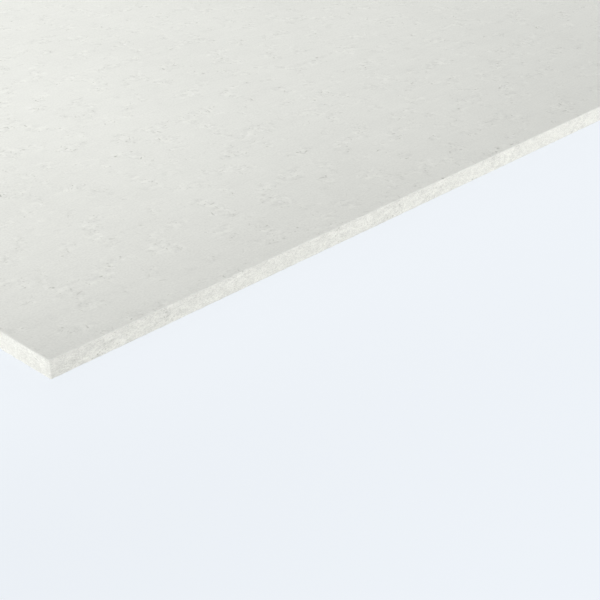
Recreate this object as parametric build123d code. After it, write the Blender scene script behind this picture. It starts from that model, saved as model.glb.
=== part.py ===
from build123d import *

import os


# Driving dimensions, in millimetres
sheet_length = 1500.0
sheet_width = 1000.0
sheet_thickness = 12.5
# Sawing leaves sharp arrises, and handling wears this much off each of them
arris_width = 0.4


def drywall_sheet():
    """One pressed board of gypsum and fibre, sawn square on all four sides.

    It lies flat. The origin is the middle of its underside, +X runs along the length,
    +Y across the width and +Z up through the thickness.
    """
    board = Box(
        sheet_length,
        sheet_width,
        sheet_thickness,
        align=(Align.CENTER, Align.CENTER, Align.MIN),
    )
    return chamfer(board.edges(), arris_width)


os.makedirs("parts", exist_ok=True)
export_step(drywall_sheet(), "parts/drywall_sheet.step")
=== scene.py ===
import math
import random

import bmesh
import bpy
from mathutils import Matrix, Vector, noise


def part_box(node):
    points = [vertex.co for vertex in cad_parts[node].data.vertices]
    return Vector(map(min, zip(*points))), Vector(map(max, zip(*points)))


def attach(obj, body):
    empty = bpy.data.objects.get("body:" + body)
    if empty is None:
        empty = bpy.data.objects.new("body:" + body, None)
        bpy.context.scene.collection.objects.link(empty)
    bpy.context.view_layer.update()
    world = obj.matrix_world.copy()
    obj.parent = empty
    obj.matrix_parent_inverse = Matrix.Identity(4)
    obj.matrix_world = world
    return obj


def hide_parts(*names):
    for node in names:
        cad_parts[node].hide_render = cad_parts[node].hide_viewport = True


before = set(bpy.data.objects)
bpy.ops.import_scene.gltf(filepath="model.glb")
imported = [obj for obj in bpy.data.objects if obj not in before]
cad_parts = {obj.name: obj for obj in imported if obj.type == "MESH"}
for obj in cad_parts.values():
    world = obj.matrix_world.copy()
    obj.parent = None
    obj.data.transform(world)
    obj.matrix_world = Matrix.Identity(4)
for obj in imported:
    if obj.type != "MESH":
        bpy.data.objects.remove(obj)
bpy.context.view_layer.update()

# Everything is in metres, in the sheet's own frame: +X along its length, +Z up through it
MM = 0.001
board_low, board_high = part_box("drywall_sheet")
length, width, thickness = board_high - board_low

# The sawn band goes round the sheet, from a little way in on one face to as far in on the other.
# A section is where it is cut across: its insets from the edge, and its depths from the nearer face
STATION = 2 * MM  # from one section to the next, along the edge
ARRIS = 0.4 * MM
FACE_INSETS = [6 * MM, 3 * MM, 1.7 * MM, 1.1 * MM, 0.7 * MM, ARRIS]
EDGE_DEPTHS = [ARRIS, 0.8 * MM, 1.4 * MM, 2.3 * MM, 3.6 * MM, 5.2 * MM]
CORNER_RADIUS = 0.7 * MM
LEAST_RADIUS = 0.15 * MM  # at a corner, however far in
CORNER_STEPS = 4
CORNER_EASE = 24 * MM  # over which the points slide into a corner
CELL_STATIONS = 25  # one cell of the flat faces

# Wear on the arrises, and what the saw tore out of the edges
NICK_SPACING = 130 * MM
NICK_HALF = (0.5 * MM, 2.2 * MM)  # half the length of a nick
NICK_DEPTH = (0.22, 0.38)  # its depth, as a share of that
NICK_FREE = 20 * MM  # clear of the corners
NICK_STATION = 0.4 * MM
NICK_ROUGH = 0.06  # of the ball that cuts it
NICK_WORN = 0.12 * MM  # a nick this deep is worn through and through
ARRIS_WORN = 0.6  # how worn the rest of the arris is, from 0 to 1
SOFT_ARRIS = (0.25 * MM, 0.75 * MM)
WANDER = 0.08 * MM
TORN_DEPTH = 0.22 * MM
SAW_EASE = 1.5 * MM  # below the arris, until the saw's marks have their full depth

# How long the waves of each kind of wear are, in millimetres
WANDER_WAVE = 70
TORN_WAVE = 6
SOFT_WAVE = 5
NICK_WAVE = 0.8

# Where the surface lies on a square picture baked from it, in shares of the picture
FACE_SHARE = 0.46  # to a metre
FACE_MARGIN = 0.006
FACE_GAP = 0.01  # between the top and the underside
STRIP_COUNTS = [4, 2, 4, 2]  # each side's share of the sawn band, cut into strips
STRIP_START = 0.703
STRIP_PITCH = 0.0246
STRIP_ACROSS = (0.06, 0.85)  # where a strip starts in its pitch, and how wide it is
STRIP_ALONG = (0.01, 0.98)  # where it starts along the picture, and how long it is

PALE_GYPSUM = (0.793, 0.8, 0.757)
FIBRE_GREY = (0.42, 0.425, 0.38)
BARK_GREY = (0.27, 0.255, 0.215)
POWDER_WHITE = (0.9, 0.9, 0.87)
BACKDROP_BLUE = (0.863, 0.905, 0.956)
FLOOR_SEEN = (0.94, 0.965, 0.97)  # by the camera, where the lamps light the floor
FLOOR_GREY = (0.86, 0.86, 0.85)  # by everything else
LIT_LACK = 0.22  # about how much darker the lit floor is than the backdrop, as a share
FLOOR_PLAIN = 0.84  # how much of the floor's colour is the backdrop's beside the sheet
FLOOR_FADE = (0.02, 0.4)  # how far off that starts to grow, and where it is all of it

# Soft lamps all round: where each one is, and its watts
LAMP_SIZE = (1.2, 0.9)
LAMPS_AIM = Vector((-0.2, 0, 0))
AMBIENT = 0.1  # the light that comes evenly from all round
LAMPS = {
    "front": ((0.17, -1.84, 0.3), 12.4),
    "above_left": ((-0.48, 0.03, 0.37), 2.9),
    "above_right": ((0.66, -0.02, 0.6), 4.9),
    "behind": ((0.22, 2.01, 0.59), 20.7),
}

# Far lamps, low on the left and the right: which way each one lies, and its strength
FAR_SPREAD = math.radians(8)
FAR_LAMPS = {
    "left": (Vector((-0.949, -0.307, 0.07)), 2.06),
    "right": (Vector((0.987, -0.144, 0.07)), 1.53),
}

# The photograph's view of the near corner
PICTURE = 600
CORNER_IN_PICTURE = (48.9, 360.5)  # the near top corner, in the photograph's pixels
CAMERA_TURN = math.radians(43.888)  # from the sheet's length towards its width
CAMERA_TILT = math.radians(28.613)  # downwards
CAMERA_REACH = 0.7379  # from the camera to the corner, along the view
LENS = 81.14  # millimetres, as is the sensor
SENSOR = 36


class Field:
    """A value that varies over a surface: one socket that can stand in a sum.

    Numbers go through Math nodes, and places, directions and colours through Vector Math nodes.
    """

    def __init__(self, finish, socket):
        self.finish = finish
        self.socket = socket

    def pair(self, operation, first, second):
        wide = self.socket.type in ("VECTOR", "RGBA")
        kind = "ShaderNodeVectorMath" if wide else "ShaderNodeMath"
        return self.finish.node(kind, {"operation": operation}, {0: first, 1: second})

    def __add__(self, other):
        return self.pair("ADD", self, other)

    def __radd__(self, other):
        return self.pair("ADD", other, self)

    def __sub__(self, other):
        return self.pair("SUBTRACT", self, other)

    def __rsub__(self, other):
        return self.pair("SUBTRACT", other, self)

    def __mul__(self, other):
        return self.pair("MULTIPLY", self, other)

    def __rmul__(self, other):
        return self.pair("MULTIPLY", other, self)

    def __truediv__(self, other):
        return self.pair("DIVIDE", self, other)

    def __rtruediv__(self, other):
        return self.pair("DIVIDE", other, self)


class Finish:
    """The nodes of one material or of the world, built up by adding to them."""

    def __init__(self, owner):
        self.owner = owner
        owner.use_nodes = True
        self.tree = owner.node_tree
        self.tree.nodes.clear()

    def node(self, kind, settings=None, sockets=None, *outputs):
        """Adds a node of one kind, with its settings first and then its sockets' values or links.

        Gives back the named outputs, or the first one if none is named.
        """
        made = self.tree.nodes.new(kind)
        for setting, value in (settings or {}).items():
            setattr(made, setting, value)
        for name, value in (sockets or {}).items():
            if isinstance(value, Field):
                self.tree.links.new(value.socket, made.inputs[name])
            else:
                made.inputs[name].default_value = value
        fields = [Field(self, made.outputs[name]) for name in outputs or [0] if made.outputs]
        return fields[0] if len(fields) == 1 else fields

    def number(self, operation, *values):
        """A Math node of one operation on the values."""
        return self.node("ShaderNodeMath", {"operation": operation}, dict(enumerate(values)))

    def vector(self, operation, *values, output=0):
        """A Vector Math node of one operation on the values."""
        settings = {"operation": operation}
        return self.node("ShaderNodeVectorMath", settings, dict(enumerate(values)), output)

    def ramp(self, value, start, end, low=0.0, high=1.0):
        """Runs smoothly from low to high as the value goes from start to end."""
        return self.node(
            "ShaderNodeMapRange",
            {"interpolation_type": "SMOOTHSTEP"},
            {"Value": value, "From Min": start, "From Max": end, "To Min": low, "To Max": high},
        )

    def clouds(self, place, size, detail=2.0, rough=0.5, output="Fac"):
        """Soft lumps about as large as size, each between 0 and 1."""
        return self.node(
            "ShaderNodeTexNoise",
            {"noise_dimensions": "3D"},
            {"Vector": place, "Scale": 1 / size, "Detail": detail, "Roughness": rough},
            output,
        )

    def cells(self, place):
        """Cells one unit apart: how far off each one's middle is, where it is, and three dice."""
        away, middle, dice = self.node(
            "ShaderNodeTexVoronoi",
            {"voronoi_dimensions": "3D", "feature": "F1"},
            {"Vector": place, "Scale": 1.0},
            "Distance",
            "Position",
            "Color",
        )
        kind = "ShaderNodeSeparateColor"
        return away, middle, self.node(kind, None, {"Color": dice}, "Red", "Green", "Blue")

    def blend(self, share, under, over):
        """Lays the colour over on the colour under, as thickly as share says."""
        sockets = {"Factor": share, 6: under, 7: over}
        return self.node("ShaderNodeMix", {"data_type": "RGBA"}, sockets, 2)

    def seen(self):
        """1 where the camera sees it, straight or by a reflection, and 0 where it only lights."""
        rays = ("Is Camera Ray", "Is Glossy Ray", "Is Transmission Ray")
        straight, mirrored, through = self.node("ShaderNodeLightPath", None, None, *rays)
        return self.number("MAXIMUM", self.number("MAXIMUM", straight, mirrored), through)

    def end(self, shader, kind="ShaderNodeOutputMaterial"):
        self.node(kind, None, {"Surface": shader})
        return self.owner


def paint(rgb, light=1.0):
    """A colour for a socket, made lighter or darker by a factor but never pure white."""
    return (*[min(part * light, 0.97) for part in rgb], 1.0)


def fibres(finish, place, cell, long_mm, wide_mm, rarity, shift):
    """Short fibres pressed flat in the board, one in each cell.

    They run through the board as in a solid, so a face shows those that lie in it and a sawn
    edge shows where they are cut. Lengths are in millimetres. Most are faint, and the higher the
    rarity, the fewer stand out.
    """
    in_cells = finish.vector("DIVIDE", place + shift, cell)
    _, middle, (first, second, third) = finish.cells(in_cells)
    angle = first * (2 * math.pi)
    lie = finish.node(
        "ShaderNodeCombineXYZ",
        None,
        {
            "X": finish.number("COSINE", angle),
            "Y": finish.number("SINE", angle),
            "Z": (third - 0.5) * 0.2,
        },
    )
    from_middle = (in_cells - middle) * cell
    along = finish.vector("DOT_PRODUCT", from_middle, lie, output="Value")
    foot = finish.node("ShaderNodeVectorMath", {"operation": "SCALE"}, {0: lie, "Scale": along})
    across = finish.vector("LENGTH", from_middle - foot, output="Value")
    half = long_mm / 2 * (0.5 + third * 0.5)
    slim = finish.ramp(across, wide_mm * 0.9, 0)
    ended = finish.ramp(finish.number("ABSOLUTE", along) / half, 1.0, 0.75)
    return slim * ended * finish.number("POWER", second, rarity)


def flecks(finish, place, cell_mm, radius_mm, rarity, shift):
    """Flecks of matted fibre, one in each cell, each of its own size and most of them faint."""
    away, _, (first, second, _) = finish.cells((place + shift) * ((1 / cell_mm,) * 3))
    radius = radius_mm / cell_mm * (0.45 + first * 0.55)
    return finish.ramp(away / radius, 1.0, 0.2) * finish.number("POWER", second, rarity)


def gypsum_fibre():
    """Pale pressed gypsum with fine fibres in it, sanded on its faces and sawn on its edges."""
    finish = Finish(bpy.data.materials.new("gypsum_fibre"))
    place_m = finish.node("ShaderNodeTexCoord", None, None, "Object")
    place = place_m * (1000, 1000, 1000)
    facing = finish.node("ShaderNodeNewGeometry", None, None, "True Normal")
    sideways, upright = finish.node("ShaderNodeSeparateXYZ", None, {0: facing}, "X", "Z")
    sawn = finish.ramp(finish.number("ABSOLUTE", upright), 0.75, 0.55)
    # The saw left the long sides coarser than the ends
    coarse = sawn * finish.ramp(finish.number("ABSOLUTE", sideways), 0.55, 0.75, 1.0, 0.62)
    worn = finish.node("ShaderNodeAttribute", {"attribute_name": "worn"}, None, "Fac")

    # Loose drifts, where more of the fibre shows than elsewhere
    drifts = finish.ramp(finish.clouds(place + (2, 9, 27), 20, 3), 0.47, 0.63, 0.03, 1.0)

    # The mix: wide clouds, then lumps, mottling and grain, all pressed flat
    pressed = place * (1, 1, 2.2)
    wide = finish.clouds(pressed, 260, 2) - 0.5
    lumps = finish.clouds(pressed + (31, 7, 3), 26, 3, 0.6) - 0.5
    mottle = finish.clouds(pressed + (17, 3, 41), 5, 3, 0.6) - 0.5
    grain = finish.clouds(pressed + (5, 71, 13), 1.5, 2, 0.6) - 0.5
    sanding = finish.clouds(place * (0.006, 1, 0.05), 3.0, 2) - 0.5
    tone = 1 + wide * 0.07 + lumps * 0.05
    tone = tone + mottle * (0.02 + drifts * 0.26 + coarse * 0.3)
    tone = tone + grain * (0.16 + coarse * 0.44)
    tone = tone + sanding * (1 - sawn) * 0.03

    # The fibre itself: fluff and crumbs, and strokes that lie every way
    ruffle = finish.clouds(place, 1.6, 2, 0.6, "Color") - (0.5, 0.5, 0.5)
    ruffled = pressed + ruffle * (1.6, 1.6, 1.6)
    fluff = flecks(finish, ruffled, 6.0, 2.0, 3, (9.7, 1.3, 4.1))
    crumbs = flecks(finish, ruffled, 3.0, 1.1, 4, (2.9, 7.3, 1.7))
    chalk = flecks(finish, ruffled, 5.4, 2.2, 2, (33.1, 5.9, 12.7))
    fine = fibres(finish, place, (3.6, 3.6, 1.5), 3.4, 0.8, 3, (0, 0, 0))
    mid = fibres(finish, place, (6, 6, 2), 5.6, 1.0, 3, (11.3, 4.7, 2.9))
    long = fibres(finish, place, (16, 16, 3), 9.0, 0.5, 3, (3.1, 17.9, 7.7))

    body = finish.blend(
        finish.ramp(tone, 0.8, 1.2), paint(PALE_GYPSUM, 0.8), paint(PALE_GYPSUM, 1.2)
    )
    body = finish.blend(sawn * 0.1, body, paint(POWDER_WHITE))
    body = finish.blend(chalk * (0.06 + drifts * 0.94 + coarse * 0.6), body, paint(POWDER_WHITE))
    body = finish.blend(crumbs * drifts * 0.85, body, paint(FIBRE_GREY))
    body = finish.blend(fluff * drifts * 0.85, body, paint(FIBRE_GREY))
    body = finish.blend(fine * drifts * 0.8, body, paint(FIBRE_GREY))
    body = finish.blend(mid * drifts * 0.8, body, paint(FIBRE_GREY))
    body = finish.blend(long * 0.4, body, paint(BARK_GREY))
    body = finish.blend(worn * 0.4, body, paint(POWDER_WHITE))

    # Its relief in millimetres: the fibre was torn or sanded out a little lower
    relief = grain * (0.05 + coarse * 0.17) - fluff * 0.06 - crumbs * 0.03 - fine * 0.03
    relief = relief + worn * grain * 0.3
    normal = finish.node("ShaderNodeBump", None, {"Distance": MM, "Height": relief})
    return finish.end(
        finish.node(
            "ShaderNodeBsdfPrincipled",
            None,
            {
                "Base Color": body,
                "Roughness": 0.9 + grain * 0.12,
                "Specular IOR Level": 0.3,
                "Normal": normal,
            },
        )
    )


def pale_floor():
    """A floor that fades into the same pale colour all round, and keeps the sheet's shadow."""
    finish = Finish(bpy.data.materials.new("pale_floor"))
    seen = finish.seen()
    place = finish.node("ShaderNodeTexCoord", None, None, "Object")
    beyond = finish.vector("ABSOLUTE", place) - (length / 2, width / 2, 0)
    away = finish.vector("LENGTH", finish.vector("MAXIMUM", beyond, (0, 0, 0)), output="Value")
    plain = finish.ramp(away, *FLOOR_FADE, FLOOR_PLAIN, 1.0)
    shade = finish.blend(seen, paint(FLOOR_GREY), paint(FLOOR_SEEN))
    lit = finish.node("ShaderNodeBsdfDiffuse", None, {"Color": shade})
    # The backdrop's colour makes up for the lit floor that shows through it, which is darker
    sockets = {0: BACKDROP_BLUE, "Scale": 1 + (1 - plain) * LIT_LACK}
    backdrop = finish.node("ShaderNodeVectorMath", {"operation": "SCALE"}, sockets)
    even = finish.node("ShaderNodeEmission", None, {"Color": backdrop, "Strength": 1.0})
    return finish.end(finish.node("ShaderNodeMixShader", None, {0: seen * plain, 1: lit, 2: even}))


class Section:
    """One cut across the sawn band: how far along which side, and how far it has swung round."""

    def __init__(self, side, along, swing=0.0):
        self.side = side
        self.along = along  # from the side's first corner
        self.swing = swing  # from the side's own facing, round its first corner

    def point(self, inset, height):
        start, ahead, outward, run = self.side
        radius = max(CORNER_RADIUS - inset, LEAST_RADIUS)
        back = inset + radius
        if self.swing:
            facing = outward * math.cos(self.swing) + ahead * math.sin(self.swing)
            place = start + (ahead - outward) * back + facing * radius
        else:
            near = max(0, 1 - (self.along - CORNER_RADIUS) / CORNER_EASE)
            far = max(0, 1 - (run - self.along - CORNER_RADIUS) / CORNER_EASE)
            slide = (back - CORNER_RADIUS) * (near - far)
            place = start + ahead * (self.along + slide) - outward * inset
        return place + Vector((0, 0, height))

    def on_rim(self):
        """How far along the side it is, with the corner's arc unrolled."""
        return self.along + self.swing * CORNER_RADIUS


def make_sides():
    """The four sides, anticlockwise from the near corner: start, way ahead, way out and length."""
    x, y = length / 2, width / 2
    corners = [Vector(place) for place in ((-x, -y, 0), (x, -y, 0), (x, y, 0), (-x, y, 0))]
    sides = []
    for start, end in zip(corners, corners[1:] + corners[:1]):
        ahead = (end - start).normalized()
        sides.append((start, ahead, Vector((ahead.y, -ahead.x, 0)), (end - start).length))
    return sides


def make_nicks(run, dice):
    """Small scoops out of a side's two arrises, each where a ball would cut into it.

    Each one is its place along the side, whether it is in the upper arris, half its length,
    and the ball's radius and its middle's distance from the arris.
    """
    nicks = []
    for upper in (True, False):
        along = NICK_FREE + dice.uniform(0, NICK_SPACING)
        while along < run - NICK_FREE:
            half = dice.triangular(*NICK_HALF, NICK_HALF[0])
            deep = half * dice.uniform(*NICK_DEPTH)
            radius = (half * half + deep * deep) / (2 * deep)
            nicks.append((along, upper, half, radius, radius - deep))
            along += dice.uniform(0.4, 1.6) * NICK_SPACING
    return nicks


def make_sections(side, nicks):
    """Sections along one side, closer together where a nick is."""
    run = side[3]
    count = round(run / STATION)
    marks = [run * number / count for number in range(1, count)]
    for along, _, half, _, _ in nicks:
        steps = math.ceil(half / NICK_STATION) + 1
        for step in range(-steps, steps + 1):
            mark = along + step * NICK_STATION
            if all(abs(mark - other) > NICK_STATION * 0.4 for other in marks):
                marks.append(mark)
    swings = [math.pi / 2 * (step / CORNER_STEPS - 1) for step in range(CORNER_STEPS + 1)]
    corner = [Section(side, CORNER_RADIUS, swing) for swing in swings]
    return corner + [Section(side, mark) for mark in sorted(marks)]


def fresh_rows():
    """A fresh section's points, from the top face to the underside: inset, depth, and if upper."""
    half = [(inset, 0.0) for inset in FACE_INSETS] + [(ARRIS * 0.3, ARRIS * 0.3)]
    half += [(0.0, depth) for depth in EDGE_DEPTHS]
    return [(*point, True) for point in half] + [(*point, False) for point in reversed(half)]


def wear_away(section, row, nicks):
    """Moves a fresh section's point inwards, to where the saw and wear left it.

    Gives its place, and how worn it is from 0 to 1.
    """
    inset, depth, upper = row
    slant = math.sqrt(0.5)
    spot = section.point(inset, thickness - depth if upper else depth) / MM
    worn = ARRIS_WORN if inset + depth < 1.1 * ARRIS else 0.0
    if depth > ARRIS:
        wander = WANDER * (0.5 + 0.5 * noise.noise(spot / WANDER_WAVE))
        torn = TORN_DEPTH * max(0, noise.noise(spot / TORN_WAVE))
        inset += (wander + torn) * min(1, depth / SAW_EASE)
    low, high = SOFT_ARRIS
    soft = low + (high - low) * min(max(0.5 + noise.noise(spot / SOFT_WAVE), 0), 1)
    push = max(0, soft - inset - depth) / 2
    inset, depth = inset + push, depth + push
    for along, nick_upper, _, radius, away in nicks:
        if nick_upper == upper and not section.swing:
            rough = radius * (1 + NICK_ROUGH * noise.noise(spot / NICK_WAVE))
            inward = (inset + depth) * slant + away
            reach = math.hypot(section.along - along, inward, (inset - depth) * slant)
            if reach < rough:
                push = math.sqrt(inward * inward + rough * rough - reach * reach) - inward
                inset, depth = inset + push * slant, depth + push * slant
                worn = max(worn, min(1, push / NICK_WORN))
    return section.point(inset, thickness - depth if upper else depth), worn


def cut_cells(bm, face, sides):
    """Cuts a flat face into cells, along lines between the sections of opposite sides."""
    cells = [face]
    for start, ahead, _, run in sides[:2]:
        count = round(run / STATION)
        for number in range(CELL_STATIONS, count, CELL_STATIONS):
            parts = {part for cell in cells for part in (cell, *cell.edges, *cell.verts)}
            cut = bmesh.ops.bisect_plane(
                bm,
                geom=list(parts),
                dist=1e-6,
                plane_co=start + ahead * (run * number / count),
                plane_no=ahead,
            )
            cells = [part for part in cut["geom"] if isinstance(part, bmesh.types.BMFace)]


def on_face(place, upper):
    """Where a point of a flat face lies on the baked picture."""
    across = place.x if upper else -place.x
    below = 0 if upper else width * FACE_SHARE + FACE_GAP
    return (
        FACE_MARGIN + (across + length / 2) * FACE_SHARE,
        FACE_MARGIN + (place.y + width / 2) * FACE_SHARE + below,
    )


def board_mesh():
    """The sheet: a worn, sawn band all round between two flat faces."""
    bm = bmesh.new()
    worn_layer = bm.verts.layers.float.new("worn")
    baked = bm.loops.layers.uv.new("OFBake")
    dice = random.Random(11)
    sides = make_sides()
    rows = fresh_rows()
    columns = []  # each section, its side's number and its points
    for number, side in enumerate(sides):
        nicks = make_nicks(side[3], dice)
        for section in make_sections(side, nicks):
            near = [nick for nick in nicks if abs(nick[0] - section.along) < nick[2] + MM]
            column = []
            for row in rows:
                place, worn = wear_away(section, row, near)
                column.append(bm.verts.new(place))
                column[-1][worn_layer] = worn
            columns.append((section, number, column))

    # How far down the sawn band each row is, from one face's arris to the other's
    first = len(FACE_INSETS) - 1
    heights = [thickness - depth if upper else depth for _, depth, upper in rows]
    down = [0.0]
    for (inset, _, _), (next_inset, _, _), height, next_height in zip(
        rows, rows[1:], heights, heights[1:]
    ):
        down.append(down[-1] + math.hypot(next_inset - inset, next_height - height))
    last = len(rows) - 1 - first
    banded = set()
    for (this, number, column), (following, next_number, next_column) in zip(
        columns, columns[1:] + columns[:1]
    ):
        run = sides[number][3]
        start = this.on_rim()
        end = following.on_rim() if next_number == number else run - CORNER_RADIUS
        strip_run = run / STRIP_COUNTS[number]
        strip = min(int((start + end) / 2 / strip_run), STRIP_COUNTS[number] - 1)
        edge_u = STRIP_START + (sum(STRIP_COUNTS[:number]) + strip) * STRIP_PITCH
        for row in range(len(rows) - 1):
            corners = (column[row], column[row + 1], next_column[row + 1], next_column[row])
            face = bm.faces.new(corners)
            if first <= row < last:
                banded.add(face)
                places = [(start, row), (start, row + 1), (end, row + 1), (end, row)]
                for loop, (along, at) in zip(face.loops, places):
                    across = (down[at] - down[first]) / (down[last] - down[first])
                    up = (along - strip * strip_run) / strip_run
                    u = edge_u + STRIP_PITCH * (STRIP_ACROSS[0] + STRIP_ACROSS[1] * across)
                    loop[baked].uv = (u, STRIP_ALONG[0] + STRIP_ALONG[1] * up)

    top = bm.faces.new([column[0] for _, _, column in columns])
    underside = bm.faces.new([column[-1] for _, _, column in reversed(columns)])
    cut_cells(bm, top, sides)
    cut_cells(bm, underside, sides)
    for face in bm.faces:
        face.smooth = True
        if face not in banded:
            upper = face.calc_center_median().z > thickness / 2
            for loop in face.loops:
                loop[baked].uv = on_face(loop.vert.co, upper)
    mesh = bpy.data.meshes.new("drywall_board")
    bm.to_mesh(mesh)
    bm.free()
    return mesh


def add_object(name, data):
    made = bpy.data.objects.new(name, data)
    bpy.context.scene.collection.objects.link(made)
    return made


def make_board():
    board = add_object("drywall_board", board_mesh())
    board.data.materials.append(gypsum_fibre())
    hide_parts("drywall_sheet")
    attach(board, "root")


def make_floor():
    """So wide that its edges stay out of sight."""
    half = 40
    mesh = bpy.data.meshes.new("floor")
    corners = [(-half, -half, 0), (half, -half, 0), (half, half, 0), (-half, half, 0)]
    mesh.from_pydata(corners, [], [(0, 1, 2, 3)])
    mesh.materials.append(pale_floor())
    add_object("floor", mesh)


def make_world():
    """Even light all round, and the backdrop's colour where the camera looks past the floor."""
    studio = Finish(bpy.data.worlds.new("studio"))
    kind = "ShaderNodeBackground"
    ambient = studio.node(kind, None, {"Color": (1, 1, 1, 1), "Strength": AMBIENT})
    backdrop = studio.node(kind, None, {"Color": paint(BACKDROP_BLUE), "Strength": 1.0})
    mix = studio.node("ShaderNodeMixShader", None, {0: studio.seen(), 1: ambient, 2: backdrop})
    bpy.context.scene.world = studio.end(mix, "ShaderNodeOutputWorld")


def make_lamp(name, place, power):
    """A soft lamp that faces the sheet and that the camera doesn't see."""
    lamp = bpy.data.lights.new(name, "AREA")
    lamp.shape = "RECTANGLE"
    lamp.size, lamp.size_y = LAMP_SIZE
    lamp.energy = power
    holder = add_object(name, lamp)
    holder.location = place
    holder.rotation_mode = "QUATERNION"
    holder.rotation_quaternion = (LAMPS_AIM - Vector(place)).to_track_quat("-Z", "Y")
    holder.visible_camera = False


def make_far_lamp(name, way, strength):
    """A lamp so far off that its light falls on the whole sheet alike."""
    lamp = bpy.data.lights.new(name, "SUN")
    lamp.angle = FAR_SPREAD
    lamp.energy = strength
    holder = add_object(name, lamp)
    holder.rotation_mode = "QUATERNION"
    holder.rotation_quaternion = (-way).to_track_quat("-Z", "Y")


def make_camera():
    """The photograph's view, with the near top corner where the photograph has it."""
    level = Vector((math.cos(CAMERA_TURN), math.sin(CAMERA_TURN), 0))
    along = level * math.cos(CAMERA_TILT) - Vector((0, 0, math.sin(CAMERA_TILT)))
    right = along.cross(Vector((0, 0, 1))).normalized()
    up = right.cross(along)
    camera = bpy.data.cameras.new("camera")
    camera.lens = LENS
    camera.sensor_width = SENSOR
    camera.clip_start = 0.01
    camera.clip_end = 100
    pixel = SENSOR / PICTURE / LENS * CAMERA_REACH  # how large one is at the corner
    across, down = [(place - PICTURE / 2) * pixel for place in CORNER_IN_PICTURE]
    corner = Vector((board_low.x, board_low.y, board_high.z))
    holder = add_object("camera", camera)
    holder.location = corner - along * CAMERA_REACH - right * across + up * down
    holder.rotation_mode = "QUATERNION"
    holder.rotation_quaternion = along.to_track_quat("-Z", "Y")
    bpy.context.scene.camera = holder


make_board()
make_floor()
make_world()
for name, (place, power) in LAMPS.items():
    make_lamp(name, place, power)
for name, (way, strength) in FAR_LAMPS.items():
    make_far_lamp(name, way, strength)
make_camera()

bpy.context.scene.view_settings.view_transform = "Standard"
